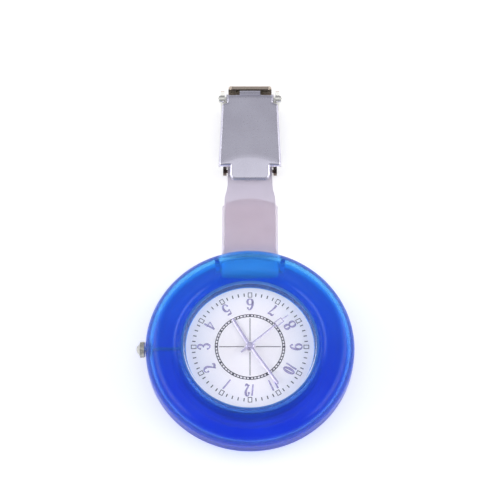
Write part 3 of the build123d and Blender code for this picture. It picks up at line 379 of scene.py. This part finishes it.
# The caseback carries the fine rings that a lathe leaves.
back_steel = Finish("caseback_turned", Metallic=1.0)
rings = back_steel.nodes.new("ShaderNodeTexNoise")
rings.noise_dimensions = "1D"
rings.inputs["Scale"].default_value = TURNING_SCALE
back_steel.links.new(back_steel.reach(), rings.inputs["W"])
back_steel.join(back_steel.ramp(back_steel.noise(5.0), (0.3, (0.5, 0.5, 0.52)), (0.7, (0.62, 0.62, 0.63))),
                "Base Color")
back_steel.join(back_steel.spread(rings.outputs["Fac"], 0.24, 0.36), "Roughness")
back_steel.bump(rings.outputs["Fac"], 0.004)

CARRIED = {
    blue_front: ["front_shell"],
    blue_back: ["back_shell"],
    glass: ["crystal"],
    seal: ["crystal_gasket"],
    rubber: ["caseback_gasket", "stem_gasket"],
    back_steel: ["caseback"],
    dial: ["dial"],
    ink: ["dial_track"],
    cream: ["movement_holder", "main_plate", "train_bridge"],
    board: ["circuit_board"],
    magnet: ["rotor"],
    copper: ["coil"],
    brass: ["battery_contact", "second_wheel", "centre_wheel", "hour_wheel", "third_wheel",
            "intermediate_wheel", "minute_wheel"],
    steel: ["bridge_screws", "battery", "quartz_can", "stator", "strap_pin", "stem", "setting_pinion",
            "setting_lever"],
    crown_metal: ["crown"],
    bright: ["clip_body", "clip_hinge_pin", "clip_bar"],
}
for finish, names in CARRIED.items():
    for name in names:
        for mesh_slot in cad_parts[name].material_slots:
            mesh_slot.material = finish.material


# --- silicone strap --------------------------------------------------------------------------
LAYER = 1.0
TAB_HALF, BAND_HALF, NECK_HALF = 7.22, 6.6, 5.8
FLEX_Y = 27.6
BAR_Y, BAR_Z, BAR_R = 51.9, 1.6, 0.5
OVER_BAR = 0.35
STRAP_TILT = atan2(STEM_Z - BAR_Z - OVER_BAR, BAR_Y - FLEX_Y)
TAB_END, TAB_SAGITTA = 15.6, 2.1
TAPER_START, TAPER_END = 15.2, 19.5
WRAP_R, STRAP_EDGE = 1.3, 0.42
TAB_END_R = (TAB_HALF**2 + TAB_SAGITTA**2) / (2 * TAB_SAGITTA)


def on_strap(along, out):
    """The (y, z) of a point so far along the strap beyond its flex line and above its middle plane."""
    return (FLEX_Y + along * cos(STRAP_TILT) + out * sin(STRAP_TILT),
            STEM_Z - along * sin(STRAP_TILT) + out * cos(STRAP_TILT))


def around(centre, radius, angle):
    """A point on a circle, with its angle in degrees."""
    return centre[0] + radius * cos(radians(angle)), centre[1] + radius * sin(radians(angle))


def strap_stations():
    """The strip's centre line as (y, z, half width, material), from the tab's free end to the clip's bar."""
    half = LAYER / 2
    out = []
    for width in (1.2, 2.6, 3.9, 5.0, 5.9, 6.5, 6.95, TAB_HALF):
        along = TAB_END - TAB_END_R + sqrt(TAB_END_R**2 - width**2)
        out.append((*on_strap(along, -half), width, 1))
    for along in (12.0, 10.0, 8.0, 6.0, 4.5, 3.2, 2.0, 1.2, 0.5):
        out.append((*on_strap(along, -half), TAB_HALF, 1))
    for y in (27.0, 26.5, 26.0, 25.4, 24.8):
        out.append((y, STEM_Z - half, TAB_HALF, 1))
    out.append((23.6, STEM_Z - 0.8, TAB_HALF, 1))
    out.append((22.8, STEM_Z - 1.1, TAB_HALF, 1))
    for angle in range(-70, -291, -20):
        out.append((*around((PIN_Y, STEM_Z), WRAP_R, angle), TAB_HALF, 1))
    out.append((22.8, STEM_Z + 1.1, TAB_HALF, 1))
    out.append((23.6, STEM_Z + 0.8, TAB_HALF, 1))
    for y, width in ((24.8, 7.2), (25.4, 7.15), (26.0, 7.05), (26.5, 6.9), (27.0, 6.75)):
        out.append((y, STEM_Z + half, width, 0))
    for along in (0.3, 1.0, 2.0, 3.2, 4.5, 6.0, 8.0, 10.0, 12.0, 14.0, 16.0, 18.0, 20.0, 21.4, 22.4):
        width = BAND_HALF - (BAND_HALF - NECK_HALF) * smooth_step(TAPER_START, TAPER_END, along)
        out.append((*on_strap(along, half), width, 0))
    for angle in range(100, -171, -18):
        out.append((*around((BAR_Y, BAR_Z), BAR_R + half - 0.02, angle), NECK_HALF, 0))
    return out


def strap_strip():
    """One strip of silicone with soft edges: out under the tab, round the case's pin and up to the clip."""
    bm = bmesh.new()
    stations = strap_stations()
    section = []
    for corner_across, corner_up in ((1, 1), (-1, 1), (-1, -1), (1, -1)):
        start = atan2(corner_up, corner_across) - pi / 4
        for k in range(5):
            section.append((corner_across, corner_up, start + k * pi / 8))
    rows = []
    for i, (y, z, half_width, _) in enumerate(stations):
        before, after = stations[max(i - 1, 0)], stations[min(i + 1, len(stations) - 1)]
        along = Vector((after[0] - before[0], after[1] - before[1])).normalized()
        normal = Vector((-along.y, along.x))
        row = []
        for corner_across, corner_up, angle in section:
            across = corner_across * (half_width - STRAP_EDGE) + STRAP_EDGE * cos(angle)
            up = corner_up * (LAYER / 2 - STRAP_EDGE) + STRAP_EDGE * sin(angle)
            row.append(bm.verts.new((across, y + normal.x * up, z + normal.y * up)))
        rows.append(row)
    for i, (a, b) in enumerate(zip(rows, rows[1:])):
        bridge(bm, a, b, index=stations[i][3])
    bm.faces.new(rows[0]).material_index = 1
    bm.faces.new(list(reversed(rows[-1])))
    return bm


strap = piece("silicone_strap", None, [silicone.material, silicone_tab.material], strap_strip())
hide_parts("strap_root", "strap_tab", "strap_band")
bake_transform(strap)

# --- numerals --------------------------------------------------------------------------------
NUMERAL_R, NUMERAL_TALL, NUMERAL_WIDE = 11.4, 3.05, 1.7
DIGIT_PITCH, DIGIT_SQUEEZE = 1.25, 0.66
THIN, THICK, BALL = 0.13, 0.34, 0.24
NUMERAL_EDGE, NUMERAL_RIDGE = 0.05, 0.1
PEN_WEIGHT = 1.6


def ellipse(centre_up, across, up, thin=THIN, thick=THICK):
    """A closed loop of a digit, thick at its sides and thin at its top and foot."""
    points, widths = [], []
    for k in range(25):
        angle = 2 * pi * k / 24
        points.append((across * cos(angle), centre_up + up * sin(angle)))
        widths.append(thin + (thick - thin) * abs(cos(angle)))
    return points, widths


# Each digit: strokes of points from -1 to 1 with a width at each, and the places of its beads.
DIGITS = {
    "1": ([([(-0.24, -0.97), (0.24, 0.97)], [0.2, 0.26])], []),
    "2": ([([(-0.74, 0.5), (-0.5, 0.86), (0.1, 1.0), (0.7, 0.72), (0.74, 0.24), (0.15, -0.3), (-0.82, -0.86)],
            [THIN, THIN, 0.2, THICK, THICK, 0.24, THIN]),
           ([(-0.82, -0.86), (-0.3, -0.76), (0.25, -0.94), (0.62, -0.92), (0.9, -0.66)],
            [THIN, 0.3, 0.34, 0.26, THIN])], [(-0.66, 0.48)]),
    "3": ([([(-0.7, 0.62), (-0.35, 0.94), (0.3, 0.93), (0.62, 0.56), (0.3, 0.16), (-0.2, 0.05)],
            [THIN, 0.18, 0.28, THICK, 0.24, THIN]),
           ([(-0.2, 0.05), (0.45, -0.04), (0.82, -0.45), (0.45, -0.9), (-0.2, -0.98), (-0.76, -0.66)],
            [THIN, 0.28, THICK, 0.3, 0.2, THIN])], [(-0.62, 0.6), (-0.66, -0.62)]),
    "4": ([([(0.42, -0.97), (0.42, 0.95)], [0.26, 0.26]),
           ([(0.42, 0.95), (-0.9, -0.34)], [THIN, THIN]),
           ([(-0.9, -0.34), (0.9, -0.34)], [THIN, THIN])], []),
    "5": ([([(-0.5, 0.9), (0.1, 0.84), (0.72, 0.96)], [0.26, 0.3, THIN]),
           ([(-0.5, 0.9), (-0.62, 0.06)], [THIN, THIN]),
           ([(-0.62, 0.06), (-0.05, 0.3), (0.62, 0.08), (0.82, -0.42), (0.45, -0.88), (-0.2, -0.98),
             (-0.74, -0.66)],
            [THIN, 0.2, THICK, THICK, 0.26, 0.16, THIN])], [(-0.66, -0.62)]),
    "6": ([([(0.66, 0.7), (0.3, 0.97), (-0.3, 0.78), (-0.74, 0.15), (-0.8, -0.42)],
            [THIN, 0.16, 0.26, THICK, THICK]), ellipse(-0.42, 0.78, 0.53)], [(0.62, 0.66)]),
    "7": ([([(-0.84, 0.62), (-0.62, 0.9), (0.0, 0.84), (0.82, 0.95)], [THIN, 0.28, 0.34, THIN]),
           ([(0.82, 0.95), (0.25, 0.2), (-0.12, -0.45), (-0.16, -0.97)], [THIN, 0.18, 0.28, THICK])], []),
    "8": ([ellipse(0.5, 0.64, 0.45), ellipse(-0.47, 0.82, 0.51)], []),
    "9": ([([(-0.66, -0.7), (-0.3, -0.97), (0.3, -0.78), (0.74, -0.15), (0.8, 0.42)],
            [THIN, 0.16, 0.26, THICK, THICK]), ellipse(0.42, 0.78, 0.53)], [(-0.62, -0.66)]),
    "0": ([ellipse(0.0, 0.86, 0.95, THIN, 0.42)], []),
}


def dial_place(clockwise):
    """The turn of a dial angle, counted clockwise from twelve, which faces -Y."""
    return radians(270.0 - clockwise)


def add_digit(bm, digit, wide, place):
    """Draws one digit's strokes and beads, its sparse strokes smoothed."""
    strokes, balls = DIGITS[digit]
    for points, widths in strokes:
        run = [(x * wide / 2, y * NUMERAL_TALL / 2, w * PEN_WEIGHT) for (x, y), w in zip(points, widths)]
        smooth = run if len(run) < 3 or len(run) > 20 else catmull(run, 5)
        pen(bm, [(x, y) for x, y, _ in smooth], [w for _, _, w in smooth], place, DIAL_Z, NUMERAL_EDGE,
            NUMERAL_RIDGE)
    for x, y in balls:
        spot = place @ Matrix.Translation((x * wide / 2, y * NUMERAL_TALL / 2, 0))
        dome(bm, BALL, spot, DIAL_Z, NUMERAL_RIDGE)


numeral_mesh = bmesh.new()
for hour in range(1, 13):
    direction = dial_place(30 * hour)
    upright = direction - pi / 2 + (pi if 4 <= hour <= 8 else 0)
    spot = Matrix.Translation((NUMERAL_R * cos(direction), NUMERAL_R * sin(direction), 0))
    digits = str(hour)
    wide = NUMERAL_WIDE if len(digits) == 1 else DIGIT_SQUEEZE * NUMERAL_WIDE
    for index, digit in enumerate(digits):
        shift = Matrix.Translation(((index - (len(digits) - 1) / 2) * DIGIT_PITCH, 0, 0))
        add_digit(numeral_mesh, digit, wide, spot @ Matrix.Rotation(upright, 4, "Z") @ shift)
numeral_piece = piece("applied_numerals", "case", relief.material, numeral_mesh,
                      smooth=False)
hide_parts("numerals")

# --- hands -----------------------------------------------------------------------------------
HOUR_ANGLE, MINUTE_ANGLE, SECOND_ANGLE = 149.5, 325.5, 229.5
HOUR_Z, MINUTE_Z, SECOND_Z = 8.1, 8.5, 8.88
ARBOR_R, MINUTE_TUBE_R, HOUR_TUBE_R = 0.15, 0.45, 0.75
HOUR_LENGTH, HOUR_WIDTH, HOUR_HUB_R = 8.65, 0.78, 1.08
MINUTE_LENGTH, MINUTE_WIDTH, MINUTE_HUB_R = 12.3, 0.72, 0.9
HAND_EDGE, HAND_RIDGE, HUB_TALL = 0.06, 0.17, 0.2
SECOND_TAIL, SECOND_LENGTH, SECOND_EDGE, SECOND_RIDGE = 2.9, 12.5, 0.05, 0.12
FRAME_START, FRAME_END, FRAME_HALF, FRAME_LINE = 8.5, 10.55, 0.6, 0.22


def baton(bm, angle, foot_z, length, width):
    """A baton hand: a flat top between two polished slopes, with a pointed end."""
    place = Matrix.Rotation(dial_place(angle), 4, "Z")
    points = [(0.3, 0), (1.2, 0), (length - 0.55, 0), (length - 0.2, 0), (length, 0)]
    widths = [width * 0.95, width, width * 0.92, width * 0.6, 0.1]
    pen(bm, points, widths, place, foot_z, HAND_EDGE, HAND_RIDGE)


def hub(bm, bore, radius, foot_z, height):
    """The ring of a hand round the tube that carries it."""
    lathe(bm, [(bore, foot_z), (radius, foot_z), (radius, foot_z + height * 0.6),
               (radius * 0.86, foot_z + height), (bore, foot_z + height)], steps=40, closed=True)


hour_mesh = bmesh.new()
baton(hour_mesh, HOUR_ANGLE, HOUR_Z, HOUR_LENGTH, HOUR_WIDTH)
hub(hour_mesh, HOUR_TUBE_R, HOUR_HUB_R, HOUR_Z, HUB_TALL)
hour_hand = piece("hour_baton", "hours", blade.material, hour_mesh, smooth=False)
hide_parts("hour_hand")

minute_mesh = bmesh.new()
baton(minute_mesh, MINUTE_ANGLE, MINUTE_Z, MINUTE_LENGTH, MINUTE_WIDTH)
hub(minute_mesh, MINUTE_TUBE_R, MINUTE_HUB_R, MINUTE_Z, HUB_TALL)
minute_hand = piece("minute_baton", "minutes", blade.material, minute_mesh, smooth=False)
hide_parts("minute_hand")

second_mesh = bmesh.new()
second_place = Matrix.Rotation(dial_place(SECOND_ANGLE), 4, "Z")
for points, widths in (
    ([(-SECOND_TAIL, 0), (-0.4, 0), (0.4, 0), (FRAME_START, 0)], [0.5, 0.5, 0.44, 0.36]),
    ([(FRAME_END, 0), (SECOND_LENGTH, 0)], [0.3, 0.18]),
    ([(FRAME_START, -FRAME_HALF), (FRAME_START, FRAME_HALF)], [FRAME_LINE, FRAME_LINE]),
    ([(FRAME_START, FRAME_HALF), (FRAME_END, FRAME_HALF)], [FRAME_LINE, FRAME_LINE]),
    ([(FRAME_END, FRAME_HALF), (FRAME_END, -FRAME_HALF)], [FRAME_LINE, FRAME_LINE]),
    ([(FRAME_END, -FRAME_HALF), (FRAME_START, -FRAME_HALF)], [FRAME_LINE, FRAME_LINE]),
):
    pen(second_mesh, points, widths, second_place, SECOND_Z, SECOND_EDGE, SECOND_RIDGE)
lathe(second_mesh, [(ARBOR_R, 8.72), (0.36, 8.72), (0.36, SECOND_Z), (0.7, SECOND_Z), (0.7, 9.0), (0.5, 9.06),
                    (0.5, 9.1), (0.36, 9.13), (ARBOR_R, 9.13)], steps=36, closed=True)
second_hand = piece("framed_second_hand", "seconds", blade.material, second_mesh, smooth=False)
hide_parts("second_hand")

# --- clip cover ------------------------------------------------------------------------------
TONGUE_END, TONGUE_HALF, TONGUE_CORNER = 48.15, 5.2, 1.5
SHOULDER_Y, SHOULDER_HALF, SHOULDER_CORNER = 51.8, 8.2, 0.8
WIDE_END_Y, WIDE_END_HALF = 70.2, 7.4
NECK_END_Y, COVER_NECK_HALF = 72.6, 6.2
COVER_TOP, COVER_CROWN, COVER_SHEET = 6.0, 0.6, 0.45
CREASE_Y, TONGUE_SLOPE, CREASE_SPAN, CREASE_DIP = 54.1, 0.25, 0.12, 0.03
ROLL_R, TONGUE_ROLL = 0.75, 0.4
SKIRT_Z, LIP_DROP = 2.6, 0.03
WALL_START, WALL_END, WALL_INSET = (51.9, 52.8), (69.6, 70.15), 0.4
HINGE_Y, HINGE_Z = 71.7, 4.5
LUG_R, LUG_SHEET, LUG_TOP = 0.95, 0.6, 5.3
NOSE_HALF = 2.7
NOSE = [(72.2, 5.95), (72.9, 5.94), (73.4, 5.8), (73.75, 5.5), (73.9, 5.1), (73.9, 4.8), (73.55, 4.85),
        (73.35, 5.2), (73.0, 5.45), (72.2, 5.5)]


def cover_half(y):
    """Half the cover's width at a station up the clip."""
    if y < SHOULDER_Y:
        into = min(y - TONGUE_END, TONGUE_CORNER)
        return TONGUE_HALF - TONGUE_CORNER + sqrt(TONGUE_CORNER**2 - (TONGUE_CORNER - into) ** 2)
    side = SHOULDER_HALF + (WIDE_END_HALF - SHOULDER_HALF) * (y - SHOULDER_Y) / (WIDE_END_Y - SHOULDER_Y)
    for into in (y - SHOULDER_Y, WIDE_END_Y - y):
        if into < SHOULDER_CORNER:
            side -= SHOULDER_CORNER - sqrt(SHOULDER_CORNER**2 - (SHOULDER_CORNER - into) ** 2)
    return side


def inner_half(y):
    """Half the width of the cover's middle strip, which runs on as the tongue and as the neck."""
    if y < SHOULDER_Y:
        return cover_half(y)
    share = min((y - SHOULDER_Y) / (WIDE_END_Y - SHOULDER_Y), 1)
    return TONGUE_HALF + (COVER_NECK_HALF - TONGUE_HALF) * share


def wing_x(side, share, y):
    """A place beside the middle strip, a share of the way out to the cover's edge."""
    return side * (inner_half(y) + share * (cover_half(y) - inner_half(y)))


def segment_distance(x, y, start, end):
    """How far a point is from a straight run between two others."""
    run = (end[0] - start[0], end[1] - start[1])
    length_squared = run[0] ** 2 + run[1] ** 2 or 1e-9
    share = min(max(((x - start[0]) * run[0] + (y - start[1]) * run[1]) / length_squared, 0), 1)
    return hypot(x - start[0] - share * run[0], y - start[1] - share * run[1])


def cover_rows():
    """The stations up the clip, closer together where the outline turns."""
    tongue = [TONGUE_END + TONGUE_CORNER * (1 - cos(radians(a))) for a in range(0, 91, 10)]
    tongue += [TONGUE_END + TONGUE_CORNER + k * 0.42 for k in range(1, 5)] + [SHOULDER_Y - 0.1]
    wide = [SHOULDER_Y + SHOULDER_CORNER * (1 - cos(radians(a))) for a in range(0, 91, 10)]
    wide += [52.9, 53.3, 53.7, 54.1, 54.5, 55.0, 56.0] + [57.5 + 1.6 * k for k in range(7)] + [68.6, 69.0]
    wide += [WIDE_END_Y - SHOULDER_CORNER * (1 - cos(radians(a))) for a in range(90, -1, -10)]
    neck = [70.5, 71.2, 71.9, 72.2, 72.45, NECK_END_Y]
    return tongue, wide, neck


def cover_outline():
    """The right half of the cover's edge, from the tongue's end to the neck's."""
    tongue, wide, neck = cover_rows()
    side = [(cover_half(y), y) for y in tongue + wide]
    side = [(0.0, TONGUE_END)] + side[:len(tongue)] + [(TONGUE_HALF, SHOULDER_Y)] + side[len(tongue):]
    side += [(COVER_NECK_HALF, WIDE_END_Y), (COVER_NECK_HALF, NECK_END_Y), (0.0, NECK_END_Y)]
    return side


def cover_height(x, y, outline):
    """The cover's top: a crown, the tongue's slope beyond an arched crease, and edges that roll over."""
    crown = COVER_TOP - COVER_CROWN * (x / SHOULDER_HALF) ** 2
    slope = COVER_TOP + (y - CREASE_Y) * TONGUE_SLOPE
    gap = max(CREASE_SPAN - abs(crown - slope), 0) / CREASE_SPAN
    top = min(crown, slope) - CREASE_DIP * gap * gap
    inside = min(segment_distance(abs(x), y, a, b) for a, b in zip(outline, outline[1:]))
    drop = ROLL_R - sqrt(ROLL_R**2 - (ROLL_R - inside) ** 2) if inside < ROLL_R else 0
    return top - (min(drop, TONGUE_ROLL) if y < SHOULDER_Y else drop)


def skirt_foot(x, y, z):
    """How far down the cover's rim reaches: deep walls along the sides, a short lip elsewhere."""
    short = z - LIP_DROP
    wall = smooth_step(*WALL_START, y) * (1 - smooth_step(*WALL_END, y))
    return short + (SKIRT_Z - short) * (wall if abs(x) > COVER_NECK_HALF + WALL_INSET else 0)


def clip_cover():
    """The pressed sheet: a middle strip, two wings beside it and a rim folded down all round."""
    bm = bmesh.new()
    tongue, wide, neck = cover_rows()
    outline = cover_outline()
    middle = [sin(pi / 2 * k / 16) for k in range(-16, 17)]
    outer = [0.0, 0.18, 0.36, 0.52, 0.66, 0.77, 0.86, 0.93, 0.975, 1.0]
    made = {}

    def vertex(x, y):
        key = (round(x, 4), round(y, 4))
        if key not in made:
            made[key] = bm.verts.new((x, y, cover_height(x, y, outline)))
        return made[key]

    rows = tongue + wide + neck
    for low, high in zip(rows, rows[1:]):
        for a, b in zip(middle, middle[1:]):
            corners = [vertex(a * inner_half(low), low), vertex(b * inner_half(low), low),
                       vertex(b * inner_half(high), high), vertex(a * inner_half(high), high)]
            bm.faces.new(corners)
    for low, high in zip(wide, wide[1:]):
        for side in (-1, 1):
            for a, b in zip(outer, outer[1:]):
                bm.faces.new([vertex(wing_x(side, a, low), low), vertex(wing_x(side, b, low), low),
                              vertex(wing_x(side, b, high), high), vertex(wing_x(side, a, high), high)])
    rim = [edge for edge in bm.edges if edge.is_boundary]
    grown = bmesh.ops.extrude_edge_only(bm, edges=rim)["geom"]
    for moved in (part for part in grown if isinstance(part, bmesh.types.BMVert)):
        moved.co.z = skirt_foot(moved.co.x, moved.co.y, moved.co.z)
    bmesh.ops.recalc_face_normals(bm, faces=bm.faces)
    if sum(face.normal.z * face.calc_area() for face in bm.faces) < 0:
        bmesh.ops.reverse_faces(bm, faces=bm.faces)
    bmesh.ops.solidify(bm, geom=bm.faces[:], thickness=COVER_SHEET)
    return bm


def plate(bm, outline, low_x, high_x):
    """A flat plate across the clip from low_x to high_x, its outline given as (y, z)."""
    ends = [[bm.verts.new((x, y, z)) for y, z in outline] for x in (low_x, high_x)]
    bridge(bm, *ends)
    bm.faces.new(ends[0])
    bm.faces.new(list(reversed(ends[1])))


cover_mesh = clip_cover()
plate(cover_mesh, NOSE, -NOSE_HALF, NOSE_HALF)
for start in (-COVER_NECK_HALF, COVER_NECK_HALF - LUG_SHEET):
    lug = [around((HINGE_Y, HINGE_Z), LUG_R, angle) for angle in range(-180, 1, 15)]
    lug += [(HINGE_Y + LUG_R, LUG_TOP), (HINGE_Y - LUG_R, LUG_TOP)]
    plate(cover_mesh, lug, start, start + LUG_SHEET)
cover = piece("clip_cover", "lever", chrome.material, cover_mesh, crease_angle=40)
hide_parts("clip_lever")

# --- stage -----------------------------------------------------------------------------------
floor_mesh = bmesh.new()
bmesh.ops.create_grid(floor_mesh, x_segments=2, y_segments=2, size=FLOOR_HALF)
bmesh.ops.translate(floor_mesh, vec=(0, 0, FLOOR_Z), verts=floor_mesh.verts)
floor_mesh.transform(Matrix.Scale(MM, 4))
floor_data = bpy.data.meshes.new("floor")
floor_mesh.to_mesh(floor_data)
floor = bpy.data.objects.new("floor", floor_data)
bpy.context.scene.collection.objects.link(floor)
paper = coat_of("floor_paper", (0.93, 0.93, 0.94), (0.95, 0.95, 0.955), (0.85, 0.95), 40.0, 1.0,
                Specular_IOR_Level=0.1)
paper.set("Emission Color", (1, 1, 1, 1))
paper.set("Emission Strength", FLOOR_GLOW)
floor_data.materials.append(paper.material)


def softbox(name, place, size, power):
    """A rectangular lamp that faces the watch."""
    data = bpy.data.lights.new(name, "AREA")
    data.shape = "RECTANGLE"
    data.size, data.size_y = size
    data.energy = power
    lamp = bpy.data.objects.new(name, data)
    lamp.location = place
    lamp.rotation_euler = (Vector(LAMP_TARGET) - Vector(place)).to_track_quat("-Z", "Y").to_euler()
    bpy.context.scene.collection.objects.link(lamp)


# Each lamp's name, its place and size in metres, and its power in watts.
LAMPS = (
    ("side_softbox_0", (-0.62, 0.0, 0.34), (0.9, 0.22), 2.2),
    ("side_softbox_2", (0.62, 0.0, 0.34), (0.9, 0.22), 2.2),
    ("top_softbox", (0, -0.15, 1.2), (1.4, 0.8), 1.95),
    ("strip_softbox", (0, 0.44, 1.0), (1.7, 0.22), 0.5),
)
for lamp in LAMPS:
    softbox(*lamp)

world = bpy.data.worlds.new("studio")
world.use_nodes = True
world.node_tree.nodes["Background"].inputs["Color"].default_value = WORLD_COLOUR
world.node_tree.nodes["Background"].inputs["Strength"].default_value = WORLD_STRENGTH
bpy.context.scene.world = world
bpy.context.scene.view_settings.view_transform = "Standard"

camera_data = bpy.data.cameras.new("camera")
camera_data.lens = CAMERA_LENS
camera_data.sensor_width = CAMERA_SENSOR
camera_data.clip_end = CAMERA_FAR
camera = bpy.data.objects.new("camera", camera_data)
camera.location = Vector(CAMERA_PLACE) * MM
camera.rotation_euler = (radians(CAMERA_TILT), 0, 0)
bpy.context.scene.collection.objects.link(camera)
bpy.context.scene.camera = camera
